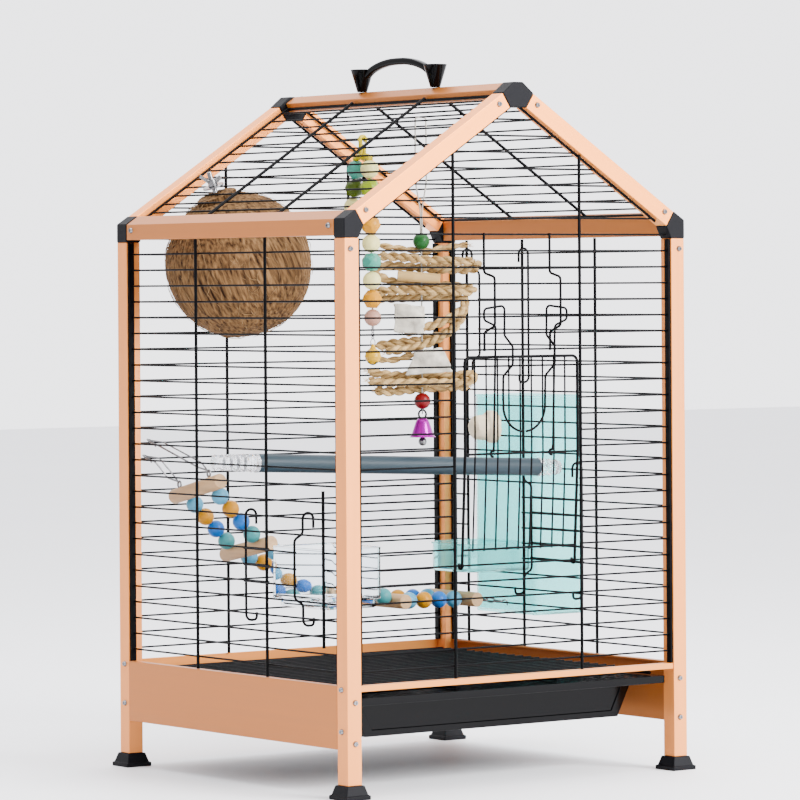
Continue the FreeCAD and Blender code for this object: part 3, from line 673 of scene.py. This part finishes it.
def perch_caps():
    left, right = at(-146, 32, 299), at(168, -3, 287)
    way = (right - left).normalized()
    for side, start, axis, reach in (("left", left, -way, 48.0), ("right", right, way, 25.5)):
        bm = bmesh.new()
        profile = [(8.6, 0.1), (9.3, 0.6), (9.3, 2.2), (8.7, 2.8)]
        rows = round(reach / 4.2)
        for i in range(rows + 1):
            h = 3.2 + (reach - 4.8) * i / rows
            profile.append(((9.2 if i % 2 else 7.7) - 1.3 * i / rows, h))
        profile += [(6.6, reach - 0.6), (5.6, reach), (0, reach)]
        rings = lathe(bm, [(0, 0.1)] + profile, start, axis, 14)
        spin = math.pi / 14
        for i, ring in enumerate(rings[5:-3]):
            if i % 2:
                bmesh.ops.rotate(bm, verts=ring, cent=start,
                                 matrix=Matrix.Rotation(spin, 3, axis.normalized()))
        piece("crystal_cap_" + side, bm, "cage", ["clear_cap"], ["perch_cap_" + side],
              smooth=False)


perch_caps()

# Seed cup and outside feeder: moulded tubs ------------------------------------------------------


def corners_of(node):
    """A node's box in millimetres from the cage's middle."""
    return [(p - MID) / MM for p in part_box(node)]


def feeder_cup():
    bm = bmesh.new()
    low, high = corners_of("feeder_cup")
    tub(bm, (-194.8, low.y, low.z), (high.x, high.y, high.z - 6), 2.0, 7, near=3, lip=0.3)
    tub(bm, (-189, low.y + 4, low.z - 8), (high.x - 3, high.y - 4, low.z - 0.2), 2.0, 6, near=3)
    for y in (low.y + 12, high.y - 12):
        tub(bm, (low.x, y - 5, low.z), (-194.9, y + 5, low.z + 3), 0.9, 1.2)
    piece("seed_cup", bm, "cup", ["clear"], ["feeder_cup"])


def outside_feeder():
    bm = bmesh.new()
    low, high = corners_of("feeder_box")
    tub(bm, (214, low.y, low.z), (high.x, high.y, high.z), 2.0, 6, lip=1.2)
    tub(bm, (low.x, 67, 179), (213.6, 147, 208), 2.0, 3, near=22, lip=1.5)
    for z in (230, 300):
        lathe(bm, [(0, 0), (3.0, 0), (3.2, 0.6), (2.6, 1.6), (0, 1.8)], at(213.9, 76, z), (-1, 0, 0), 20)
    piece("feeder_hopper", bm, "feeder_box", ["mint"], ["feeder_box"])


feeder_cup()
outside_feeder()


def mineral_block():
    """Pressed mineral treat: a disc with a domed, tapered body."""
    bm = bmesh.new()
    centre = sum(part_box("mineral_ball"), Vector()) / 2 + Vector((2, -7, 0)) * MM
    lathe(bm, [(0, -16), (8, -15), (11.8, -11), (12.6, -5), (13.2, 0), (15.6, 2.4), (16.4, 4.5),
               (16.4, 9.5), (15.4, 12), (9, 13.4), (0, 13.8)], centre, (0.96, -0.28, 0.05), 48)
    bmesh.ops.subdivide_edges(bm, edges=bm.edges, cuts=1, use_grid_fill=True)
    for v in bm.verts:
        v.co += (v.co - centre).normalized() * noise.noise(v.co * 260) * 0.7 * MM
    piece("mineral_block", bm, "cage", ["mineral"], ["mineral_ball"])


mineral_block()

# Coconut nest: fibrous shell with a round door, a lid line and loose fibres ---------------------


def coconut():
    low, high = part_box("coconut_nest")
    radius = (high.z - low.z) / 2
    centre = Vector(((low.x + high.x) / 2, (low.y + high.y) / 2, (low.z + high.z) / 2))
    centre.x = low.x + radius
    up = Vector((-0.36, 0, 0.933)).normalized()
    axis = Vector((70, -14, 21)).normalized()
    door_from, door_r = centre + Vector((20, -4, 6)) * MM, 31 * MM
    bm = bmesh.new()
    bmesh.ops.create_icosphere(bm, subdivisions=7, radius=radius - 0.8 * MM)
    streak = Matrix.Rotation(HUSK_LEAN, 3, "Y")
    for v in bm.verts:
        d = v.co.normalized()
        p = streak @ d
        grain = noise.noise(Vector((p.x * 34, p.y * 34, p.z * 5)))
        lumps = noise.noise(d * 2.3 + Vector((3, 1, 0)))
        away = math.degrees(d.angle(up))
        lid = 3.6 if away < 15.5 else (-1.6 if away < 19 else 0)
        v.co = centre + d * (radius - 0.8 * MM + (grain * 0.75 + lumps * 1.5 + lid - 1.2) * MM)

    def off_axis(p):
        rel = p - door_from
        along = rel.dot(axis)
        return (rel - axis * along), along

    def in_doorway(p, spare=0.0):
        out, along = off_axis(p)
        return along > 0 and out.length < door_r + spare

    doomed = [f for f in bm.faces if in_doorway(f.calc_center_median())]
    bmesh.ops.delete(bm, geom=doomed, context="FACES")
    for v in [v for v in bm.verts if v.is_boundary]:
        out, _ = off_axis(v.co)
        v.co += out.normalized() * (door_r - out.length)
    shell = piece("coconut_shell", bm, "cage", ["coconut"], ["coconut_nest"])
    wall = shell.modifiers.new("wall", "SOLIDIFY")
    wall.thickness, wall.offset = 5 * MM, -1

    bm = bmesh.new()
    for _ in range(420):
        start = Vector([rng.gauss(0, 1) for _ in range(3)]).normalized()
        run = (Vector((0.42, 0.05, -1)) + Vector([rng.gauss(0, 0.28) for _ in range(3)]))
        reach, bow = rng.uniform(0.12, 0.4), rng.uniform(-0.12, 0.12)
        line = []
        for i in range(8):
            t = i / 7
            d = start + (run - start * run.dot(start)).normalized() * reach * t
            d += start.cross(run).normalized() * bow * math.sin(math.pi * t)
            line.append(centre + d.normalized() * (radius - (1.15 - 0.9 * math.sin(math.pi * t)) * MM))
        if any(in_doorway(p, MM) for p in line):
            continue
        thick = rng.uniform(0.13, 0.3) * MM
        sweep(bm, line, [thick * (0.3 + math.sin(math.pi * i / 7)) for i in range(8)], 4)
    piece("coconut_fibres", bm, "cage", ["fibre"])


coconut()

# Beads ------------------------------------------------------------------------------------------


def round_bead(bm, centre, radius, axis, mat, hole=1.4):
    """Turned wooden bead with a drilled hole."""
    r = radius / MM
    start = math.asin(hole / r)
    profile = [(hole * 0.9, -math.cos(start) * r + 0.7)]
    profile += [(r * math.sin(t), -r * math.cos(t))
                for t in (start + (math.pi - 2 * start) * i / 20 for i in range(21))]
    profile += [(hole * 0.9, math.cos(start) * r - 0.7)]
    lathe(bm, [(0, profile[0][1])] + profile + [(0, profile[-1][1])], centre, axis, 32, mat)


def facet_bead(bm, centre, radius, spin, mat):
    """Geometric bead: a cube with every edge and corner planed flat."""
    side = radius * 1.84
    made = bmesh.ops.create_cube(bm, size=side)
    verts = made["verts"]
    faces = {f for v in verts for f in v.link_faces}
    edges = list({e for v in verts for e in v.link_edges})
    cut = bmesh.ops.bevel(bm, geom=edges, offset=side * 0.27, segments=1, profile=0.5, affect="EDGES")
    grown = {v for f in list(cut["faces"]) + [f for f in faces if f.is_valid] for v in f.verts}
    turned = Matrix.Rotation(spin, 3, "Z") @ Matrix.Rotation(0.5 + spin, 3, "X")
    for v in grown:
        v.co = turned @ v.co + centre
    for f in {f for v in grown for f in v.link_faces}:
        f.material_index = mat
        f.smooth = False


FACETED = ("lime", "amber", "teal", "olive")
FRONT_STRING = ["cream", "lime", "olive", "amber", "cream", "teal", "cream", "amber", "rosewood"]
REAR_STRING = ["teal", "olive", "cream", "lime", "cream", "amber", "teal", "cream", "rosewood"]


def bead_toy():
    keys = list(BEAD_COLOURS)
    found = balls("bead_toy_beads")
    middle = sum((c.y for c, _ in found)) / len(found)
    found.sort(key=lambda b: (b[0].y > middle, -b[0].z))
    bm, string = bmesh.new(), bmesh.new()
    for i, (centre, radius) in enumerate(found):
        colour = (FRONT_STRING + REAR_STRING)[i]
        lowest = i % len(FRONT_STRING) == len(FRONT_STRING) - 1
        after = centre * 2 - found[i - 1][0] if lowest else found[i + 1][0]
        if colour in FACETED:
            facet_bead(bm, centre, radius, 0.7 * i, keys.index(colour))
        else:
            round_bead(bm, centre, radius * (0.93 if lowest else 1), after - centre, keys.index(colour))
    piece("toy_beads", bm, "bead_toy", keys, ["bead_toy_beads"])
    for first, last in ((found[0][0], found[8][0]), (found[9][0], found[17][0])):
        way = (first - last).normalized()
        sweep(string, [first + way * 12 * MM, last - way * 9.5 * MM], 0.9 * MM, 8)
    piece("toy_strings", string, "bead_toy", ["string"])
    bells = bmesh.new()
    for centre, _ in (found[8], found[17]):
        heart = centre - Vector((0, 0, 36.7)) * MM
        body = [(0, 11.6), (1.1, 11.4), (1.5, 10.4), (3.2, 7.1)]
        body += [(7.7 * math.sin(t), 7.7 * math.cos(t)) for t in (0.46 + 2.3 * i / 18 for i in range(19))]
        body = [(r + (0.35 if abs(h) < 0.5 else 0), h) for r, h in body]
        lathe(bells, body + [(1.6, -7.4), (0, -7.2)], heart, (0, 0, 1), 40, 0)
        # Black bars (the plastic slot) laid over the closed shell as painted shade where the bell's slits
        # open onto its dark inside.
        for way in (Vector((5.6, 0, 0)), Vector((0, 5.6, 0))):
            for s in (-1, 1):
                shade_slit = [heart + Vector((0, 0, -7.95)) * MM]
                shade_slit += [heart + way * s * t * MM
                         + Vector((0, 0, -math.sqrt(61.5 - (5.6 * t) ** 2))) * MM
                         for t in (0.3, 0.6, 0.85, 1.0)]
                sweep(bells, shade_slit, [0.55 * MM] * 4 + [1.0 * MM], 8, 1)
        top, foot = centre.z - 7.6 * MM, heart.z + 11 * MM
        turns = 26
        for phase in (0, math.pi):
            coil = [Vector((centre.x + 1.1 * MM * math.cos(phase + 0.75 * i),
                            centre.y + 1.1 * MM * math.sin(phase + 0.75 * i),
                            top + (foot + 6 * MM - top) * i / turns)) for i in range(turns + 1)]
            sweep(bells, coil, 0.42 * MM, 6, 2)
        ring = [Vector((centre.x + 2.6 * MM * math.sin(t), centre.y, foot + 2.2 * MM
                        + 3.4 * MM * math.cos(t))) for t in (2 * math.pi * i / 24 for i in range(25))]
        sweep(bells, ring, 0.42 * MM, 6, 2)
    piece("jingle_bells", bells, "bead_toy", ["yellow", "plastic", "steel"],
          ["bead_toy_bells"])
    hook = bmesh.new()
    wire_low, wire_high = corners_of("bead_toy_hook")
    x, y = (wire_low.x + wire_high.x) / 2, -37
    loop = turn_points((x, y, wire_high.z - 4.7), 3.2, -40, 215, "xz", 18)
    wire(hook, loop + [(x - 2.2, y, wire_low.z + 7), (x - 0.6, y, wire_low.z + 1.5)], 2.0)
    wire(hook, [(x + 1.6, y, wire_high.z - 9), (x + 1.9, y, wire_low.z + 6), (x, y, wire_low.z)], 1.9, 3)
    saddle = flowing([(x, y - 12.5, wire_low.z + 0.5), (x, y - 7.5, wire_low.z + 3),
                      (x, y, wire_low.z + 3.4), (x, y + 7.5, wire_low.z + 3),
                      (x, y + 12.5, wire_low.z + 0.5)], 8)
    sweep(hook, [at(*p) for p in saddle], 3.0 * MM, 14)
    piece("toy_saddle", hook, "bead_toy", ["yellow_plastic"], ["bead_toy_hook"])


bead_toy()

# Seagrass rope toy ------------------------------------------------------------------------------

TOY = sum(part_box("rope_toy_beads"), Vector()) / 2
ACROSS = Vector((math.cos(yaw), -math.sin(yaw), 0))
BEHIND = Vector((math.sin(yaw), math.cos(yaw), 0))


def in_toy(side, depth, z):
    """A place in the rope toy: side and depth from its middle string, height on the floor."""
    return Vector((TOY.x, TOY.y, 0)) + (ACROSS * side + BEHIND * depth + Vector((0, 0, z))) * MM


def rope_toy():
    rows = [
        [(-43, 4, 508), (-24, 4, 505), (-6, 3, 502.5), (8, 3, 502), (26, 4, 505.5), (46, 4, 508)],
        [(-41, -4, 497), (-20, -5, 496), (5, -5, 493), (28, -5, 492), (51, -4, 491)],
        [(51, -4, 491), (55, 0, 487.5), (47, 4, 483.5), (20, 5, 484), (-8, 5, 486), (-36, 5, 488),
         (-46, 2, 484), (-42, 0, 478), (-22, 5, 470.5), (10, 5, 468.5), (45, 5, 466.5)],
        [(45, 5, 466.5), (50, 0, 464.5), (45, -4, 462), (15, -5, 462.5), (-16, -5, 463.5), (-44, -4, 463)],
        [(-44, -4, 463), (-48, 1, 460), (-43, 5, 456), (-10, 5, 456.5), (22, 5, 457), (39, 4, 455),
         (42, 0, 450), (35, -5, 441), (16, -5, 431), (-18, -5, 421.5)],
        [(42, 4, 450), (40, 6, 440), (33, 5, 428), (17, 5, 419), (-6, 5, 414), (-26, 5, 412), (-46, 4, 409)],
        [(34, -2, 430), (22, -3, 420), (4, -3, 411), (-14, -3, 406.5), (-36, -2, 404)],
        [(-44, 4, 396), (-28, 5, 395.5), (-10, 5, 400), (6, 4, 403)],
        [(-53, 4, 384.5), (-30, 5, 380.5), (0, 5, 380), (28, 5, 379.5), (46, 4, 381), (50, 0, 378),
         (46, -4, 374), (20, -5, 373), (-12, -5, 373.5), (-38, -5, 373.5), (-53, -4, 376)],
        [(-46, 3, 365.5), (-30, 4, 364.5), (-6, 5, 367), (20, 5, 368.5), (45, 4, 369)],
    ]
    bm = bmesh.new()
    for n, row in enumerate(rows):
        line = flowing([in_toy(*p) for p in row], 12)
        thin = n in (0, 7)
        twisted(bm, line, (1.5 if thin else 2.15) * MM, (1.9 if thin else 2.65) * MM,
                (26 if thin else 21) * MM, hand=1 if n % 2 else -1, sides=10)
        for end, inner in ((line[0], line[1]), (line[-1], line[-2])):
            for _ in range(9):
                way = ((end - inner).normalized() + Vector([rng.gauss(0, 0.35) for _ in range(3)]))
                start = end + Vector([rng.gauss(0, 1.1) for _ in range(3)]) * MM
                sweep(bm, [start, start + way.normalized() * rng.uniform(2.5, 6) * MM],
                      [0.34 * MM, 0.12 * MM], 4)
    piece("seagrass_ropes", bm, "rope_toy", ["seagrass"], ["rope_toy_ropes"])

    bm = bmesh.new()
    stick = [(0, -21), (4.0, -21), (4.9, -20.4), (5.0, -6), (5.25, -4.8), (5.0, -3.6), (4.9, 20.4),
             (4.1, 21), (3.0, 21), (2.8, 14), (0, 14)]
    lathe(bm, stick, in_toy(-2.7, -5.2, 476.3), ACROSS * 41.5 + Vector((0, 0, -3.5)), 32)
    piece("bamboo_stick", bm, "rope_toy", ["bamboo"])

    bm = bmesh.new()
    for side, z, wide, tall, lean in ((-12, 435.5, 29, 27.5, -0.14), (7, 394.5, 46, 24, 0.12)):
        verts = bmesh.ops.create_grid(bm, x_segments=26, y_segments=26, size=0.5)["verts"]
        for v in verts:
            u, w = v.co.x, v.co.y
            taper = 1 - 0.45 * (w + 0.5) if lean > 0 else 1
            curl = 3.4 * math.cos(u * 3.2) + 1.6 * math.sin(w * 5 + u * 4)
            edge = noise.noise(Vector((u * 5, w * 5, z))) * 1.3
            v.co = in_toy(side + u * wide * taper + edge, -7.5 - curl * 0.7, z + (w + lean * u) * tall
                          + edge)
    pads = piece("loofah_pads", bm, "rope_toy", ["loofah"])
    thick = pads.modifiers.new("thickness", "SOLIDIFY")
    thick.thickness, thick.offset = 2.6 * MM, 0

    bm = bmesh.new()
    found = sorted(balls("rope_toy_beads"), key=lambda b: -b[0].z)
    keys = ["green", "red"]
    for i, (centre, radius) in enumerate(found):
        round_bead(bm, centre, radius, (0, 0, 1), i)
    piece("rope_toy_two_beads", bm, "rope_toy", keys, ["rope_toy_beads"])

    bm = bmesh.new()
    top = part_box("rope_toy_ropes")[1].z / MM
    for s in (-1, 1):
        loop = [in_toy(s * 5.2, 0, top - 1), in_toy(s * 5.4, 0, 590), in_toy(s * 5.2, 0, 570),
                in_toy(s * 2.8, 0.4 * s, 554), in_toy(s * 0.9, 0.6 * s, 541),
                in_toy(s * 0.7, -0.6 * s, 519)]
        sweep(bm, flowing(loop, 8), 0.75 * MM, 8)
    over = [in_toy(5.2 * math.cos(t), 0, top - 1 + 2.2 * math.sin(t))
            for t in (math.pi * i / 12 for i in range(13))]
    sweep(bm, over, 0.75 * MM, 8)
    sweep(bm, [in_toy(0, 0, 504), in_toy(0, 0, 362)], 0.8 * MM, 8)
    piece("toy_hanging_string", bm, "rope_toy", ["string"])

    bm = bmesh.new()
    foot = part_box("rope_toy_bell")[0].z / MM
    skirt = [(12.9, 0), (12.8, 0.5), (11.3, 1.7), (10.2, 4.5), (8.4, 10), (6.6, 15.2), (5.4, 17.4),
             (3.4, 18.4), (0, 18.6)]
    inside = [(0, 17.6), (4.4, 16.4), (7.6, 10), (9.6, 4), (12.3, 0)]
    lathe(bm, inside + skirt, in_toy(0, 0, foot), (0, 0, 1), 48, 0)
    lathe(bm, [(0, -8.6), (2.6, -7.7), (4.0, -5.4), (4.1, -3.6), (3.0, -1.2), (0.6, 0), (0.5, 14)],
          in_toy(0, 0, foot), (0, 0, 1), 24, 1)
    eye = [in_toy(3.6 * math.sin(t), 0, foot + 22.4 + 4.2 * math.cos(t))
           for t in (2 * math.pi * i / 24 for i in range(25))]
    sweep(bm, eye, 1.0 * MM, 10, 2)
    link = [in_toy(0, 2.4 * math.sin(t), foot + 26.6 + 3.6 * math.cos(t))
            for t in (2 * math.pi * i / 24 for i in range(25))]
    sweep(bm, link, 0.6 * MM, 8, 1)
    piece("little_bell", bm, "rope_toy", ["magenta", "steel", "plastic"],
          ["rope_toy_bell"])


rope_toy()

# Ladder beads and hooks -------------------------------------------------------------------------

LADDER_COLOURS = ["pale_blue", "amber", "blue", "aqua"]


def ladder():
    keys = list(BEAD_COLOURS)
    bm, string = bmesh.new(), bmesh.new()
    found = sorted(balls("ladder_beads"), key=lambda b: b[0].x)
    dowels = sorted(islands("ladder_dowels"), key=lambda box: box[0].x)
    rungs = [(a.x + b.x) / 2 for a, b in dowels]
    for rear in (True, False):
        line = [b for b in found if (b[0].y > MID.y + 132 * MM) == rear]
        for i, (centre, radius) in enumerate(line):
            passed = max(n for n, x in enumerate(rungs) if x < centre.x)
            order = [b[0].x for b in line if rungs[passed] < b[0].x < rungs[passed + 1]].index(centre.x)
            along = line[min(i + 1, len(line) - 1)][0] - line[max(i - 1, 0)][0]
            last = order == 3 and passed == len(rungs) - 2
            colour = "pale_blue" if last else LADDER_COLOURS[order % 4]
            round_bead(bm, centre, radius, along, keys.index(colour))
        sweep(string, [b[0] for b in line], 0.8 * MM, 8)
    piece("ladder_balls", bm, "cage", keys, ["ladder_beads"])
    piece("ladder_strings", string, "cage", ["string"])
    bm = bmesh.new()
    for x, y, z, k in ((-152, 160, 276, 14), (-147, 116, 288, 13)):
        hook_z = level(k)
        wire(bm, [(x + 1.5, y, z + 1), (x - 8, y + 6, z + 5), (x - 20, WIRE_Y - 14, hook_z - 3),
                  (x - 26, WIRE_Y - 6, hook_z + 1), (x - 25, WIRE_Y + 1.9, hook_z + 3.8),
                  (x - 19, WIRE_Y + 3.4, hook_z + 2.4), (x - 13, WIRE_Y + 3.2, hook_z - 4)], 0.9, 5, 8)
        wire(bm, [(x + 0.5, y + 0.4, z + 1), (x - 3, y + 6, z + 9), (x - 14, WIRE_Y - 12, hook_z + 0.5),
                  (x - 24, WIRE_Y - 5, hook_z + 2.4)], 0.8, 5, 8)
        ring = [(x + 1.4, y + 2.6 * math.sin(t), z - 1.5 + 3.2 * math.cos(t))
                for t in (2 * math.pi * i / 20 for i in range(21))]
        wire(bm, ring, 1.0, 0, 8)
    for y in (110, 154):
        start = Vector((171.5, y, 150))
        end = Vector((WIRE_X - 3, y - 22, level(24) + 1.5))
        for i in range(4):
            c = start + (end - start) * (i + 0.5) / 4
            along = (end - start).normalized()
            flat = along.cross(Vector((0, 0, 1))).normalized()
            second = flat if i % 2 else along.cross(flat)
            ring = [c + along * 4.4 * math.cos(t) + second * 2.2 * math.sin(t)
                    for t in (2 * math.pi * j / 20 for j in range(21))]
            wire(bm, ring, 0.8, 0, 8)
        wire(bm, [tuple(end), (WIRE_X - 1, y - 23, level(24) + 2.6), (WIRE_X + 1.8, y - 24, level(24) + 2.2),
                  (WIRE_X + 2.6, y - 24, level(24) - 3)], 0.8, 2, 8)
    piece("ladder_steel_links", bm, "cage", ["steel"], ["ladder_hooks"])


ladder()
